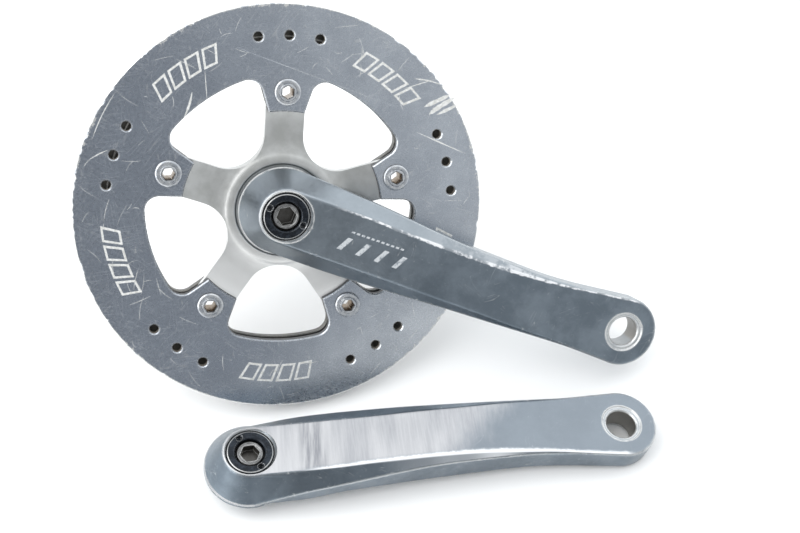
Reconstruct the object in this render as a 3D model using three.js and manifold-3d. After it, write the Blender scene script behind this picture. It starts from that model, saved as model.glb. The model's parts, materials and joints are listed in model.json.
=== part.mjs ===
// Bicycle crankset in two pieces, laid out on a flat surface: the drive side (crank arm, five-arm spider,
// chainring and guard ring) leans back on its rim, and the loose left arm lies face up in front of it.
// Millimetres, +Z up. The origin is on the drive side's spindle axis, at the inboard face of its hub.
// Each side is modelled in its own arm frame: x along the arm from the spindle to the pedal, z outboard
// along the spindle, z = 0 at the guard ring's outer face.
import * as THREE from "three";
import { mergeVertices } from "three/addons/utils/BufferGeometryUtils.js";
import Module from "manifold-3d";

const wasm = await Module();
wasm.setup();

// ---- Placement on the surface
const DRIVE_LEAN_DEG = 51.5; // spindle axis from vertical
const DRIVE_ARM_DEG = -28.8; // arm below the horizontal of the leaning disc
const LEFT_HEADING_DEG = -7.1;
const LEFT_PITCH_DEG = 5.45; // the pedal end lies lower than the boss
const LEFT_SPOT = { x: -36.3, y: -101.7 };

// ---- Crank arms
const ARM_LENGTH = 175;
const FACE_RING_RADIUS = 12.3;
const BOSS_RADIUS = 20.6;
const BOSS_BACK = -4.5;
const BOSS_FRONT = 11.6;
const BOSS_RIM_TOP = -3;
const DRIVE_HUB_BACK = -18;
const DRIVE_HUB_RADIUS = 16.3;
const LEFT_HUB_BACK = -10.5;
const LEFT_HUB_RADIUS = 14;
const SQUARE_ACROSS_FLATS = 12.7; // tapered square spindle socket
const SQUARE_TAPER = 1.03;
const WEB_BACK = 0.5;
const WEB_FRONT = 3;
const CAP_BORE_RADIUS = 11.1;
const EYE_RADIUS = 17.1;
const EYE_BACK = 5.5;
const EYE_FRONT = 19;
const EYE_CHAMFER = 0.8;
const PEDAL_HOLE_RADIUS = 7.1;
const PEDAL_SEAT_RADIUS = 9.5;
const PEDAL_SEAT_DEPTH = 0.6;

// The arm's section at stations along it: the flat face, the bevel's outer edge on each flank, the back.
const FACE_HEIGHT = [[0, 11.6], [23, 13.3], [41, 15], [60, 16.5], [80, 18.1], [100, 19], [175, 19]];
const FACE_UPPER = [[0, 12.2], [40, 12], [55, 11], [85, 10.5], [110, 10.5], [135, 12], [160, 15], [175, 16.3]];
const FACE_LOWER = [[0, 12.2], [57, 12.3], [100, 13.1], [120, 14.3], [145, 14.7], [160, 15.7], [175, 16.3]];
const FLANK_UPPER = [
  [0, 20.4], [23, 19.7], [41, 18.8], [69, 16.1], [87, 14.6], [107, 13.9], [130, 13.2], [148, 14.2],
  [160, 15.6], [175, 17.1],
];
const FLANK_LOWER = [[0, 20.4], [23, 19.7], [41, 19], [69, 17.8], [87, 16.9], [126, 16.1], [150, 15.8], [175, 17.1]];
const FLANK_HEIGHT = [
  [0, -2.5], [12, 2], [23, 6.1], [41, 9.8], [69, 14.2], [87, 16.2], [107, 17.3], [130, 18], [175, 18.3],
];
const BACK_HEIGHT = [[0, -3.5], [26, -3.5], [40, 0.5], [88, 0.5], [107, 2.2], [136, 3.8], [175, 5.5]];
const BACK_INSET = 1; // the back is this much narrower than the flank, a side
const STATIONS = [0, 12, 23, 33, 41, 55, 69, 87, 107, 120, 130, 139, 148, 160, 168, 175];

// ---- Drive side stack
const ARMS = 5;
const BOLT_CIRCLE_RADIUS = 55;
const FIRST_BOLT_DEG = 36; // the crank arm runs midway between two spider arms
const BOLT_HOLE_RADIUS = 5.15;
const GUARD = { radius: 94.5, front: 0, back: -4, tabRadius: 46.3 };
const GUARD_HOLE = { radius: 2.2, circle: 80.2, stepDeg: 10 };
const WINDOW = { sideX: 20.3, sideY: 41.7, cornerX: 17.3, cornerY: 53.3, corner: 6.5, rimCentre: -14, rim: 76 };
const SIDE_SLANT_DEG = 18.4; // a window's sides flare outwards by this much
const SPIDER_HALF_WIDTH = 8.9;
const SPIDER_TIP = 61;
const SPIDER_FILLET = { radius: 16.2, circle: 42.7 };
const SPIDER_BORE = 16.6;
const SPIDER_BACK = -13;
const TAB_FRONT = -4.3;
const TAB_BACK = -8.1;
const CHAINRING = { front: -8.4, back: -12.2, windowGrow: 0.4, tabRadius: 46.4, root: 85.6, tip: 91.5, teeth: 44 };
const LOCKRING = { bore: 16.8, radius: 23, front: -13.3, back: -16.8, notches: 8, notchWidth: 4, notchDepth: 1.8 };

// ---- Fasteners
const RING_BOLT = { head: 6.05, shank: 4, front: 1.9, seat: 0.3, end: -10.5, socket: 2.9 };
const RING_NUT = { head: 6.05, sleeve: 4.85, bore: 4.2, back: -13.9, seat: -12.5, end: -1.2 };
const CAP = { radius: 10.8, bore: 6.8, back: 7.4, front: 11, pin: 1.2, pinCircle: 8.7, pinDepth: 2 };
const CAP_TURN_DEG = { right: -9, left: -59 };
const CRANK_BOLT = { flange: 9.6, seat: 4.8, flangeTop: 6.4, neck: 6.2, front: 9.8, shank: 4, end: -7 };
const HEX_KEY = 8;
const HEX_DEPTH = 4.8;
const WASHER = { radius: 9.6, bore: 4.4, back: 3.3, front: 4.5 };

const radians = THREE.MathUtils.degToRad;

// ---- Solids
function solidFrom(geometry) {
  const bare = geometry.index ? geometry.toNonIndexed() : geometry.clone();
  bare.deleteAttribute("normal");
  bare.deleteAttribute("uv");
  const merged = mergeVertices(bare, 1e-4);
  const triVerts = new Uint32Array(merged.index.array);
  const build = () =>
    new wasm.Manifold(new wasm.Mesh({ numProp: 3, vertProperties: merged.attributes.position.array, triVerts }));
  const solid = build();
  if (solid.volume() > 0) return solid;
  triVerts.reverse(); // turns every face round
  return build();
}

function geometryFrom(solid) {
  const mesh = solid.getMesh();
  const geometry = new THREE.BufferGeometry();
  geometry.setAttribute("position", new THREE.BufferAttribute(mesh.vertProperties, 3));
  geometry.setIndex(new THREE.BufferAttribute(mesh.triVerts, 1));
  const flat = geometry.toNonIndexed();
  flat.computeVertexNormals();
  return flat;
}

const join = (...geometries) => geometries.map(solidFrom).reduce((a, b) => a.add(b));
const cut = (solid, ...geometries) => geometries.map(solidFrom).reduce((a, b) => a.subtract(b), solid);

// A cylinder or cone about z, from height a to height b.
function post(radiusA, radiusB, a, b, { x = 0, y = 0, sides = 32, turn = 0 } = {}) {
  const geometry = new THREE.CylinderGeometry(radiusB, radiusA, b - a, sides);
  geometry.rotateX(Math.PI / 2);
  geometry.rotateZ(turn);
  return geometry.translate(x, y, (a + b) / 2);
}

// A profile of [radius, height] points turned about z.
function turned(profile, sides = 48) {
  const points = [...profile, profile[0]].map(([r, z]) => new THREE.Vector2(r, z));
  return new THREE.LatheGeometry(points, sides).rotateX(Math.PI / 2);
}

function arc(cx, cy, radius, fromDeg, toDeg, steps) {
  return Array.from({ length: steps + 1 }, (_, i) => {
    const angle = radians(fromDeg + ((toDeg - fromDeg) * i) / steps);
    return new THREE.Vector2(cx + radius * Math.cos(angle), cy + radius * Math.sin(angle));
  });
}

const spun = (points, deg) => points.map((p) => p.clone().rotateAround(new THREE.Vector2(), radians(deg)));
const polar = (radius, deg) => [radius * Math.cos(radians(deg)), radius * Math.sin(radians(deg))];
const boltAngles = Array.from({ length: ARMS }, (_, k) => FIRST_BOLT_DEG + (360 / ARMS) * k);

// A flat plate with round-cornered outlines, from height a to height b.
function plate(outline, holes, a, b) {
  const shape = new THREE.Shape(outline);
  shape.holes = holes.map((points) => new THREE.Path(points));
  return new THREE.ExtrudeGeometry(shape, { depth: b - a, bevelEnabled: false }).translate(0, 0, a);
}

// ---- Crank arm
function sample(table, x) {
  const next = Math.max(1, table.findIndex(([station]) => station >= x));
  const [x0, y0] = table[next - 1];
  const [x1, y1] = table[next];
  return THREE.MathUtils.mapLinear(x, x0, x1, y0, y1);
}

function beam(mirror) {
  const sections = STATIONS.map((x) => {
    const face = sample(FACE_HEIGHT, x);
    const flank = sample(FLANK_HEIGHT, x);
    const back = sample(BACK_HEIGHT, x);
    const upper = sample(FLANK_UPPER, x);
    const lower = sample(FLANK_LOWER, x);
    const ring = [
      [sample(FACE_UPPER, x), face], [upper, flank], [upper - BACK_INSET, back],
      [BACK_INSET - lower, back], [-lower, flank], [-sample(FACE_LOWER, x), face],
    ];
    return ring.map(([y, z]) => [x, mirror * y, z]);
  });
  const count = sections[0].length;
  const index = [];
  for (let s = 0; s + 1 < sections.length; s++) {
    for (let i = 0; i < count; i++) {
      const j = (i + 1) % count;
      const [a, b, c, d] = [s * count + i, s * count + j, (s + 1) * count + i, (s + 1) * count + j];
      index.push(a, c, b, b, c, d);
    }
  }
  const end = (sections.length - 1) * count;
  for (let i = 1; i + 1 < count; i++) index.push(0, i, i + 1, end, end + i + 1, end + i);
  const geometry = new THREE.BufferGeometry();
  geometry.setAttribute("position", new THREE.Float32BufferAttribute(sections.flat(2), 3));
  geometry.setIndex(index);
  return geometry;
}

function crankArm(mirror, hubBack, hubRadius) {
  const boss = turned([
    [0, BOSS_BACK], [BOSS_RADIUS, BOSS_BACK], [BOSS_RADIUS, BOSS_RIM_TOP],
    [FACE_RING_RADIUS, BOSS_FRONT], [0, BOSS_FRONT],
  ]);
  const eye = turned([
    [0, EYE_BACK], [EYE_RADIUS - EYE_CHAMFER, EYE_BACK], [EYE_RADIUS, EYE_BACK + EYE_CHAMFER],
    [EYE_RADIUS, EYE_FRONT - EYE_CHAMFER], [EYE_RADIUS - EYE_CHAMFER, EYE_FRONT], [0, EYE_FRONT],
  ]).translate(ARM_LENGTH, 0, 0);
  const hub = post(hubRadius, DRIVE_HUB_RADIUS, hubBack, BOSS_BACK + 1, { sides: 40 });
  const corner = SQUARE_ACROSS_FLATS / Math.SQRT2;
  const atPedal = { x: ARM_LENGTH, sides: 32 };
  return cut(
    join(boss, beam(mirror), eye, hub),
    post(CAP_BORE_RADIUS, CAP_BORE_RADIUS, WEB_FRONT, BOSS_FRONT + 4, { sides: 40 }),
    post(CRANK_BOLT.shank + 0.4, CRANK_BOLT.shank + 0.4, hubBack - 1, BOSS_FRONT, { sides: 24 }),
    post(corner * SQUARE_TAPER, corner, hubBack - 1, WEB_BACK, { sides: 4, turn: Math.PI / 4 }),
    post(PEDAL_HOLE_RADIUS, PEDAL_HOLE_RADIUS, EYE_BACK - 1, EYE_FRONT + 1, atPedal),
    post(PEDAL_SEAT_RADIUS, PEDAL_SEAT_RADIUS, EYE_FRONT - PEDAL_SEAT_DEPTH, EYE_FRONT + 1, atPedal),
  );
}

// ---- Spider: a star outline cut out of a turned body, so the arms thin out towards their tabs
function starOutline() {
  const tipX = SPIDER_TIP - SPIDER_HALF_WIDTH;
  const [filletX, filletY] = polar(SPIDER_FILLET.circle, 180 / ARMS);
  return boltAngles.flatMap((deg) =>
    spun([
      ...arc(tipX, 0, SPIDER_HALF_WIDTH, -90, 90, 10),
      ...arc(filletX, filletY, SPIDER_FILLET.radius, 270, 270 - 108, 8),
    ], deg),
  );
}

function ringBoltHoles(a, b) {
  return boltAngles.map((deg) => {
    const [x, y] = polar(BOLT_CIRCLE_RADIUS, deg);
    return post(BOLT_HOLE_RADIUS, BOLT_HOLE_RADIUS, a, b, { x, y, sides: 20 });
  });
}

function spider() {
  const body = turned([
    [SPIDER_BORE, SPIDER_BACK], [26, SPIDER_BACK + 0.6], [44, TAB_BACK], [62, TAB_BACK], [62, TAB_FRONT],
    [46, TAB_FRONT], [31, -5.6], [26, -5.2], [24.6, -4.1], [22.5, -3.9], [21.2, -4.1], [21.2, -4.9], [SPIDER_BORE, -4.9],
  ], 60);
  const star = plate(starOutline(), [], SPIDER_BACK - 1, 0);
  return cut(solidFrom(body).intersect(solidFrom(star)), ...ringBoltHoles(SPIDER_BACK, 0));
}

function lockring() {
  const ring = turned([
    [LOCKRING.bore, LOCKRING.back], [LOCKRING.radius, LOCKRING.back],
    [LOCKRING.radius, LOCKRING.front], [LOCKRING.bore, LOCKRING.front],
  ], 40);
  const notches = Array.from({ length: LOCKRING.notches }, (_, k) => {
    const notch = new THREE.BoxGeometry(2 * LOCKRING.notchDepth, LOCKRING.notchWidth, 8);
    return notch.translate(LOCKRING.radius, 0, LOCKRING.front).rotateZ((k / LOCKRING.notches) * 2 * Math.PI);
  });
  return cut(solidFrom(ring), ...notches);
}

// ---- Guard ring and chainring: tabs reach in to the spider between five windows
function windowOutline(grow) {
  const { sideX, sideY, cornerX, cornerY, corner, rimCentre, rim } = WINDOW;
  const rimEnd = (Math.atan2(cornerY - rimCentre, cornerX) * 180) / Math.PI;
  const [sideOut, sideUp] = polar(grow, -SIDE_SLANT_DEG);
  const half = arc(cornerX, cornerY, corner + grow, -SIDE_SLANT_DEG, rimEnd, 5);
  const side = [new THREE.Vector2(sideX + sideOut, sideY + sideUp), ...half];
  const otherSide = side.map((p) => new THREE.Vector2(-p.x, p.y)).reverse();
  const top = arc(0, rimCentre, rim + grow, rimEnd, 180 - rimEnd, 6).slice(1, -1);
  return [...side, ...top, ...otherSide];
}

function tabbedOpening(grow, tabRadius) {
  const outline = windowOutline(grow);
  const sideDeg = (Math.atan2(outline[0].y, outline[0].x) * 180) / Math.PI;
  const tabEdge = arc(0, 0, tabRadius, 180 - sideDeg, sideDeg + 360 / ARMS, 4).slice(1, -1);
  return boltAngles.flatMap((deg) => spun([...outline, ...tabEdge], deg + 180 / ARMS - 90));
}

function bashGuard() {
  const inner = tabbedOpening(0, GUARD.tabRadius);
  const smallHoles = boltAngles.flatMap((deg) =>
    [-1, 0, 1].map((k) => {
      const [x, y] = polar(GUARD_HOLE.circle, deg + k * GUARD_HOLE.stepDeg);
      return arc(x, y, GUARD_HOLE.radius, 0, 330, 11);
    }),
  );
  const ring = plate(arc(0, 0, GUARD.radius, 0, 357, 119), [inner, ...smallHoles], GUARD.back, GUARD.front);
  return cut(solidFrom(ring), ...ringBoltHoles(GUARD.back - 1, GUARD.front + 1));
}

// Trapezium teeth outside, and windows a little larger than the guard's inside.
function chainring() {
  const pitch = 360 / CHAINRING.teeth;
  const tooth = [[-0.33, CHAINRING.root], [-0.13, CHAINRING.tip], [0.13, CHAINRING.tip], [0.33, CHAINRING.root]];
  const outline = Array.from({ length: CHAINRING.teeth }, (_, k) =>
    tooth.map(([share, radius]) => new THREE.Vector2(...polar(radius, (k + share) * pitch))),
  ).flat();
  const inner = tabbedOpening(CHAINRING.windowGrow, CHAINRING.tabRadius);
  const ring = plate(outline, [inner], CHAINRING.back, CHAINRING.front);
  return cut(solidFrom(ring), ...ringBoltHoles(CHAINRING.back - 1, CHAINRING.front + 1));
}

// ---- Fasteners
function ringBolt() {
  const { head, shank, front, seat, end, socket } = RING_BOLT;
  const body = turned([[0, end], [shank, end], [shank, seat], [head, seat], [head, front - 0.5], [head - 0.6, front],
    [0, front]], 24);
  return cut(solidFrom(body), post(socket, socket, end - 1, front + 1, { sides: 6 }));
}

function ringNut() {
  const { head, sleeve, bore, back, seat, end } = RING_NUT;
  return solidFrom(turned([[bore, back], [head, back], [head, seat], [sleeve, seat], [sleeve, end], [bore, end]], 24));
}

function extractorCap(pinDeg) {
  const { radius, bore, back, front, pin, pinCircle, pinDepth } = CAP;
  const ring = turned([[bore, back], [radius, back], [radius, front - 0.5], [radius - 0.5, front], [bore, front]]);
  const pins = [0, 180].map((turn) => {
    const [x, y] = polar(pinCircle, pinDeg + turn);
    return post(pin, pin, front - pinDepth, front + 1, { x, y, sides: 12 });
  });
  return cut(solidFrom(ring), ...pins);
}

function crankBolt() {
  const { flange, seat, flangeTop, neck, front, shank, end } = CRANK_BOLT;
  const body = turned([[0, end], [shank, end], [shank, seat], [flange, seat], [flange, flangeTop], [neck, flangeTop],
    [neck, front - 0.6], [neck - 0.6, front], [0, front]], 32);
  const hexCorner = HEX_KEY / 2 / Math.cos(Math.PI / 6);
  return cut(solidFrom(body), post(hexCorner, hexCorner, front - HEX_DEPTH, front + 1, { sides: 6 }));
}

function washer() {
  const { radius, bore, back, front } = WASHER;
  return solidFrom(turned([[bore, back], [radius, back], [radius, front], [bore, front]], 32));
}

// ---- Finishes
const finish = (color, roughness, metalness) => ({ color, roughness, metalness });
const FINISHES = {
  darkAnodised: finish(0x5f6c76, 0.42, 0.85),
  wornSilver: finish(0xb4b8bd, 0.35, 0.9),
  guardAnodised: finish(0x8b93a0, 0.38, 0.85),
  satinSilver: finish(0xb0b0ac, 0.5, 0.9),
  black: finish(0x1b1c1e, 0.4, 0.6),
  steel: finish(0xc4c4c2, 0.28, 0.95),
  darkSteel: finish(0x6d6a66, 0.4, 0.95),
};

function part(name, solid, look, holder) {
  const mesh = new THREE.Mesh(geometryFrom(solid), new THREE.MeshStandardMaterial(FINISHES[look]));
  mesh.name = name;
  holder.add(mesh);
}

function crankFixings(side, holder) {
  part(`${side}_extractor_cap`, extractorCap(CAP_TURN_DEG[side]), "black", holder);
  part(`${side}_crank_bolt`, crankBolt(), "darkSteel", holder);
  part(`${side}_bolt_washer`, washer(), "steel", holder);
}

function ringFixings(holder) {
  boltAngles.forEach((deg, k) => {
    const spot = new THREE.Group();
    spot.position.set(...polar(BOLT_CIRCLE_RADIUS, deg), 0);
    part(`chainring_bolt_${k + 1}`, ringBolt(), "steel", spot);
    part(`chainring_nut_${k + 1}`, ringNut(), "steel", spot);
    holder.add(spot);
  });
}

// ---- Assembly
const drive = new THREE.Group();
drive.rotation.set(radians(DRIVE_LEAN_DEG), 0, 0);
const driveStack = new THREE.Group();
driveStack.rotation.z = radians(DRIVE_ARM_DEG);
driveStack.position.z = -DRIVE_HUB_BACK;
drive.add(driveStack);
part("right_crank_arm", crankArm(1, DRIVE_HUB_BACK, DRIVE_HUB_RADIUS), "darkAnodised", driveStack);
part("spider", spider(), "satinSilver", driveStack);
part("spider_lockring", lockring(), "darkSteel", driveStack);
part("bash_guard", bashGuard(), "guardAnodised", driveStack);
part("chainring", chainring(), "black", driveStack);
ringFixings(driveStack);
crankFixings("right", driveStack);

// The surface is as low as the chainring's lowest tooth, and the left arm's hub rests on it.
const lean = radians(DRIVE_LEAN_DEG);
const pitch = radians(LEFT_PITCH_DEG);
const surface = (CHAINRING.back - DRIVE_HUB_BACK) * Math.cos(lean) - CHAINRING.tip * Math.sin(lean);
const leftHubDrop = -LEFT_HUB_BACK * Math.cos(pitch) + LEFT_HUB_RADIUS * Math.sin(pitch);
const left = new THREE.Group();
left.position.set(LEFT_SPOT.x, LEFT_SPOT.y, surface + leftHubDrop);
left.rotation.set(0, pitch, radians(LEFT_HEADING_DEG), "ZYX");
part("left_crank_arm", crankArm(-1, LEFT_HUB_BACK, LEFT_HUB_RADIUS), "wornSilver", left);
crankFixings("left", left);

const crankset = new THREE.Group();
crankset.add(drive, left);
export default crankset;
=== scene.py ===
"""Looks for the two-piece bicycle crankset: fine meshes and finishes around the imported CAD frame.

Shapes are worked out in each side's own arm frame, in millimetres: x from the spindle axis to the pedal,
z outboard along the spindle, z = 0 at the guard ring's outer face.
"""
import json
import math
import random

import bmesh
import bpy
import numpy as np
from mathutils import Euler, Matrix, Vector
from mathutils.geometry import tessellate_polygon


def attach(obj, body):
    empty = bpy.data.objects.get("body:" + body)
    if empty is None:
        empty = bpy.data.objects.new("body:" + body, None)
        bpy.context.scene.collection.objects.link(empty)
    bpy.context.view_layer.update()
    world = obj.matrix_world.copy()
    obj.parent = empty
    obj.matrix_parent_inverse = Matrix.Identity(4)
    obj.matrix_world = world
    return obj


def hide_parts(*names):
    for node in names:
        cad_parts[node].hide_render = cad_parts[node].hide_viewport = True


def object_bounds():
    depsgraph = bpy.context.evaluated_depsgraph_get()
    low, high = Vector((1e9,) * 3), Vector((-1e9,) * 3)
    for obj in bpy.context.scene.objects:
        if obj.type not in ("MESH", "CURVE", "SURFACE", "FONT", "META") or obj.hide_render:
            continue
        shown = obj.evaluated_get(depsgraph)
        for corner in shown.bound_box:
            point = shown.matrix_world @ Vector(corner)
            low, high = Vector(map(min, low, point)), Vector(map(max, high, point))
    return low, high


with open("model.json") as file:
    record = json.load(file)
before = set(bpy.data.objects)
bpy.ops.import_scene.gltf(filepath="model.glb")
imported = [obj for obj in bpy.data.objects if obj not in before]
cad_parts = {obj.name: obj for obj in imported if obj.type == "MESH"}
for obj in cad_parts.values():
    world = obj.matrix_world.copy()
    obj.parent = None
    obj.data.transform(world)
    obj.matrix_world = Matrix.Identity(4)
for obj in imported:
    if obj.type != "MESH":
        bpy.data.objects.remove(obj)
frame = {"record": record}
cad_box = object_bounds()

MM = 0.001
PLACE = "arm_place"  # the mesh attribute that keeps a piece's place in its arm frame
RNG = random.Random(11)

# ---- Driving dimensions, mm
HUB_REACH = 18  # drive hub's inboard face behind the guard's outer face
ARM_LENGTH = 175
BOSS_RADIUS = 20.6
ARMS = 5
PITCH = 360 / ARMS  # degrees from one spider arm to the next
FIRST_BOLT = 36
BOLT_CIRCLE = 55
BOLT_HOLE = 5.15
GUARD_RADIUS = 94.5
GUARD_TAB_RADIUS = 46.3
SMALL_HOLE_RADIUS = 2.2
SMALL_HOLE_CIRCLE = 80.2
SMALL_HOLE_STEP = 10  # degrees between the small holes of a group
WINDOW_SIDE = (20.3, 41.7)  # where a window's side meets the tab, y outward
WINDOW_CORNER = (17.3, 53.3)  # the centre of a window's round corner
WINDOW_CORNER_RADIUS = 6.5
WINDOW_RIM_CENTRE = -14
WINDOW_RIM_RADIUS = 76
WINDOW_SLANT = 18.4  # degrees a window's sides flare outwards
CHAINRING_GROWTH = 0.4  # the chainring's windows are this much larger than the guard's, all round
CHAINRING_TAB_RADIUS = 46.4
TEETH = 44
CAP_PIN_CIRCLE = 8.7

# The arm's section at stations along it: the flat face, the bevel's outer edge on each flank, the back.
FACE_HEIGHT = [(0, 11.6), (23, 13.3), (41, 15), (60, 16.5), (80, 18.1), (100, 19), (175, 19)]
FACE_UPPER = [(0, 12.4), (40, 12), (55, 11), (85, 10.5), (110, 10.5), (135, 12), (160, 15), (175, 16.3)]
FACE_LOWER = [(0, 12.4), (57, 12.3), (100, 13.1), (120, 14.3), (145, 14.7), (160, 15.7), (175, 16.3)]
FLANK_UPPER = [(0, 20.5), (23, 19.7), (41, 18.8), (69, 16.1), (87, 14.6), (107, 13.9), (130, 13.2),
               (148, 14.2), (160, 15.6), (175, 17.1)]
FLANK_LOWER = [(0, 20.5), (23, 19.7), (41, 19), (69, 17.8), (87, 16.9), (126, 16.1), (150, 15.8), (175, 17.1)]
FLANK_HEIGHT = [(0, -2.5), (12, 2), (23, 6.1), (41, 9.8), (69, 14.2), (87, 16.2), (107, 17.3), (130, 18),
                (175, 18.3)]
BACK_HEIGHT = [(0, -3.6), (26, -3.6), (40, 0.5), (88, 0.5), (107, 2.2), (136, 3.8), (175, 5.5)]


def colour(red, green, blue):
    """A display colour of 0 to 255 a channel as the linear colour a shader takes."""
    channels = [v / 255 for v in (red, green, blue)]
    return tuple(v / 12.92 if v < 0.04045 else ((v + 0.055) / 1.055) ** 2.4 for v in channels) + (1,)


# ---- Places
def arm_frame(axis, datum, seat):
    """An arm's own frame in the row frame: x towards its pedal seat, z along the spindle axis outboard."""
    z = Vector(axis).normalized()
    reach = Vector(seat) - datum
    x = (reach - z * reach.dot(z)).normalized()
    return Matrix.Translation(datum) @ Matrix((x, z.cross(x), z)).transposed().to_4x4()


joints = {joint["name"]: joint for joint in frame["record"]["behaviour"]["joints"]}
mounts = {mount["name"]: mount for mount in frame["record"]["mounts"]}
drive_axis = Vector(joints["right_bolt_spin"]["axis"]).normalized()
DRIVE = arm_frame(drive_axis, Vector(mounts["spindle_socket"]["pos_m"]) + drive_axis * HUB_REACH * MM,
                  mounts["right_pedal_seat"]["pos_m"])
LEFT = arm_frame(joints["left_bolt_spin"]["axis"], Vector(joints["left_bolt_spin"]["pos_m"]),
                 mounts["left_pedal_seat"]["pos_m"])


# ---- Mesh making
def make(name, points, faces, place, sharp=32):
    """A smooth-shaded mesh object from points in mm, with edges sharper than an angle kept crisp."""
    mesh = bpy.data.meshes.new(name)
    mesh.from_pydata([Vector(p) * MM for p in points], [], faces)
    work = bmesh.new()
    work.from_mesh(mesh)
    bmesh.ops.remove_doubles(work, verts=work.verts, dist=2e-6)
    bmesh.ops.recalc_face_normals(work, faces=work.faces)
    work.to_mesh(mesh)
    work.free()
    piece = bpy.data.objects.new(name, mesh)
    bpy.context.scene.collection.objects.link(piece)
    piece.matrix_world = place
    crisp(piece, sharp)
    return piece


def crisp(piece, sharp=32):
    piece.data.shade_smooth()
    piece.data.set_sharp_from_angle(angle=math.radians(sharp))


def combine(piece, operation, tools, sharp=32):
    """Joins or cuts a piece with tools, which are used up."""
    for tool in tools:
        step = piece.modifiers.new("step", "BOOLEAN")
        step.object = tool
        step.operation = operation
        step.solver = "EXACT"
    bpy.context.view_layer.update()
    done = piece.evaluated_get(bpy.context.evaluated_depsgraph_get())
    mesh = bpy.data.meshes.new_from_object(done)
    piece.modifiers.clear()
    piece.data = mesh
    for tool in tools:
        bpy.data.objects.remove(tool)
    crisp(piece, sharp)
    return piece


def rounded(corners, steps=4):
    """A closed outline of (x, y, size) corners, with each corner cut back by its size and curved."""
    points = []
    for i, (x, y, size) in enumerate(corners):
        here = np.array((x, y))
        if size == 0:
            points.append(here)
            continue
        before = np.array(corners[i - 1][:2]) - here
        after = np.array(corners[(i + 1) % len(corners)][:2]) - here
        start, end = (here + way / np.linalg.norm(way) * min(size, 0.48 * np.linalg.norm(way))
                      for way in (before, after))
        for t in np.linspace(0, 1, steps + 1):
            points.append((1 - t) ** 2 * start + 2 * t * (1 - t) * here + t ** 2 * end)
    return points


def turned(profile, steps=96, centre=(0, 0)):
    """Points and faces of a closed outline of (radius, height) points turned about z."""
    count = len(profile)
    points = []
    for s in range(steps):
        angle = 2 * math.pi * s / steps
        points += [(centre[0] + r * math.cos(angle), centre[1] + r * math.sin(angle), h) for r, h in profile]
    faces = []
    for s in range(steps):
        for i in range(count):
            j, t = (i + 1) % count, (s + 1) % steps
            faces.append((s * count + i, t * count + i, t * count + j, s * count + j))
    return points, faces


def lathe(name, corners, place, steps=96, centre=(0, 0)):
    return make(name, *turned(rounded(corners), steps, centre), place)


def prism(name, sides, corner, low, high, place, centre=(0, 0), turn=0.0, taper=1.0):
    """A straight or tapered prism, used as a cutter."""
    outline = [(math.cos(turn + 2 * math.pi * k / sides), math.sin(turn + 2 * math.pi * k / sides))
               for k in range(sides)]
    rings = [(corner * taper, low), (corner, high)]
    points = [(centre[0] + r * x, centre[1] + r * y, h) for r, h in rings for x, y in outline]
    sides_of = [(k, (k + 1) % sides, sides + (k + 1) % sides, sides + k) for k in range(sides)]
    return make(name, points, sides_of + [tuple(range(sides)), tuple(range(sides, 2 * sides))], place)


def inset(loop, amount):
    """A loop moved to its left by an amount, corners kept mitred."""
    loop = np.array(loop, dtype=float)
    along = np.roll(loop, -1, axis=0) - loop
    along /= np.linalg.norm(along, axis=1)[:, None]
    left = np.stack([-along[:, 1], along[:, 0]], axis=1)
    bisector = left + np.roll(left, 1, axis=0)
    bisector /= np.maximum((bisector * left).sum(axis=1), 0.35)[:, None]
    return loop + bisector * amount


def signed_area(loop):
    x, y = np.array(loop).T
    return 0.5 * np.sum(x * np.roll(y, -1) - np.roll(x, -1) * y)


def slab(name, outer, holes, low, high, chamfer, place, sharp=30):
    """A flat plate with holes, its edges chamfered on both faces."""
    loops = [np.array(loop)[::1 if (signed_area(loop) > 0) == (i == 0) else -1]
             for i, loop in enumerate([outer] + holes)]
    cap = [inset(loop, chamfer) for loop in loops]
    flat = np.concatenate(cap)
    edge = np.concatenate(loops)
    total = len(flat)
    levels = [(flat, low), (edge, low + chamfer), (edge, high - chamfer), (flat, high)]
    points = [(x, y, h) for ring, h in levels for x, y in ring]
    triangles = tessellate_polygon([[Vector((x, y, 0)) for x, y in loop] for loop in cap])
    faces = [tuple(t) for t in triangles] + [tuple(i + 3 * total for i in t) for t in triangles]
    start = 0
    for loop in loops:
        count = len(loop)
        for i in range(count):
            a, b = start + i, start + (i + 1) % count
            faces += [(a + k * total, b + k * total, b + (k + 1) * total, a + (k + 1) * total)
                      for k in range(3)]
        start += count
    return make(name, points, faces, place, sharp)


def arc(cx, cy, radius, start, end, steps):
    """Points on an arc, angles in degrees."""
    return [(cx + radius * math.cos(math.radians(a)), cy + radius * math.sin(math.radians(a)))
            for a in np.linspace(start, end, steps + 1)]


def spun(points, degrees):
    c, s = math.cos(math.radians(degrees)), math.sin(math.radians(degrees))
    return [(x * c - y * s, x * s + y * c) for x, y in points]


def polar(radius, degrees):
    return radius * math.cos(math.radians(degrees)), radius * math.sin(math.radians(degrees))


BOLT_ANGLES = [FIRST_BOLT + PITCH * k for k in range(ARMS)]


# ---- Crank arms
def eased(table, stations):
    """A table's value at each station, its corners smoothed over about 12 mm."""
    x, y = zip(*table)
    fine = np.arange(-30, ARM_LENGTH + 31, 1.0)
    start = y[0] + (np.minimum(fine, 0)) * (y[1] - y[0]) / (x[1] - x[0])
    end = (np.maximum(fine, ARM_LENGTH) - ARM_LENGTH) * (y[-1] - y[-2]) / (x[-1] - x[-2])
    values = np.where(fine < 0, start, np.interp(fine, x, y)) + end
    kernel = np.exp(-0.5 * (np.arange(-15, 16) / 5.0) ** 2)
    smooth = np.convolve(np.pad(values, 15, mode="edge"), kernel / kernel.sum(), mode="valid")
    return np.interp(stations, fine, smooth)


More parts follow.
